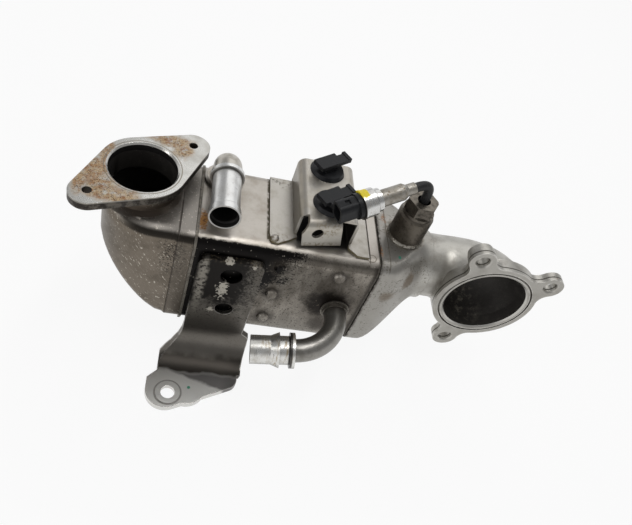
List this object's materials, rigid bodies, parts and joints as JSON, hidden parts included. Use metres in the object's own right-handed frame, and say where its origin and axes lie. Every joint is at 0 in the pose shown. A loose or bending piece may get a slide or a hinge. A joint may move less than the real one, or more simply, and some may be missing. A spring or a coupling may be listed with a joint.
{
  "type": "egr cooler",
  "caption": "Exhaust gas recirculation cooler: a box casing of flat gas tubes between a flanged inlet hood and a lugged outlet elbow, with coolant pipes, bracket and temperature sensor.",
  "frame": {"origin": "centre of the inlet bore on the outer face of the inlet flange", "axes": "+X along the casing from inlet to outlet, +Y to the back, +Z out of the inlet flange"},
  "size_m": [0.2949, 0.1164, 0.143],
  "materials": {
    "flange_steel": "machined, rust patches",
    "hood_steel": "heat-tinted drawn sheet",
    "casing_steel": "satin sheet with soot",
    "cast_steel": "fine cast",
    "bracket_steel": "sooty pressed sheet",
    "pipe_steel": "satin",
    "dark_steel": "sooty",
    "sensor_steel": "dull plated",
    "black_plastic": "moulded",
    "lead_rubber": "matte",
    "terminal_brass": "bright"
  },
  "bodies": {
    "root": {"inlet_flange": "flange_steel", "inlet_hood": "hood_steel", "inlet_tube_plate": "dark_steel", "casing": "casing_steel", "outlet_tube_plate": "dark_steel", "outlet_header": "cast_steel", "outlet_elbow": "cast_steel", "support_bracket": "bracket_steel", "upper_coolant_pipe": "pipe_steel", "upper_pipe_collar": "casing_steel", "lower_coolant_pipe": "pipe_steel", "lower_pipe_collar": "dark_steel", "lower_spigot": "pipe_steel", "sensor_bracket": "casing_steel", "rear_clip": "black_plastic", "front_clip": "black_plastic", "sensor_boss": "dark_steel", "sensor_nut": "sensor_steel", "sensor_probe": "sensor_steel", "sensor_lead": "lead_rubber", "lead_crimp": "sensor_steel", "sensor_sleeve": "sensor_steel", "sensor_ferrule": "sensor_steel", "sensor_connector": "black_plastic", "terminal_1": "terminal_brass", "terminal_2": "terminal_brass", "gas_tube_1": "pipe_steel", "gas_tube_2": "pipe_steel", "gas_tube_3": "pipe_steel", "gas_tube_4": "pipe_steel", "gas_tube_5": "pipe_steel", "gas_tube_6": "pipe_steel", "gas_tube_7": "pipe_steel"}
  },
  "joints": []
}
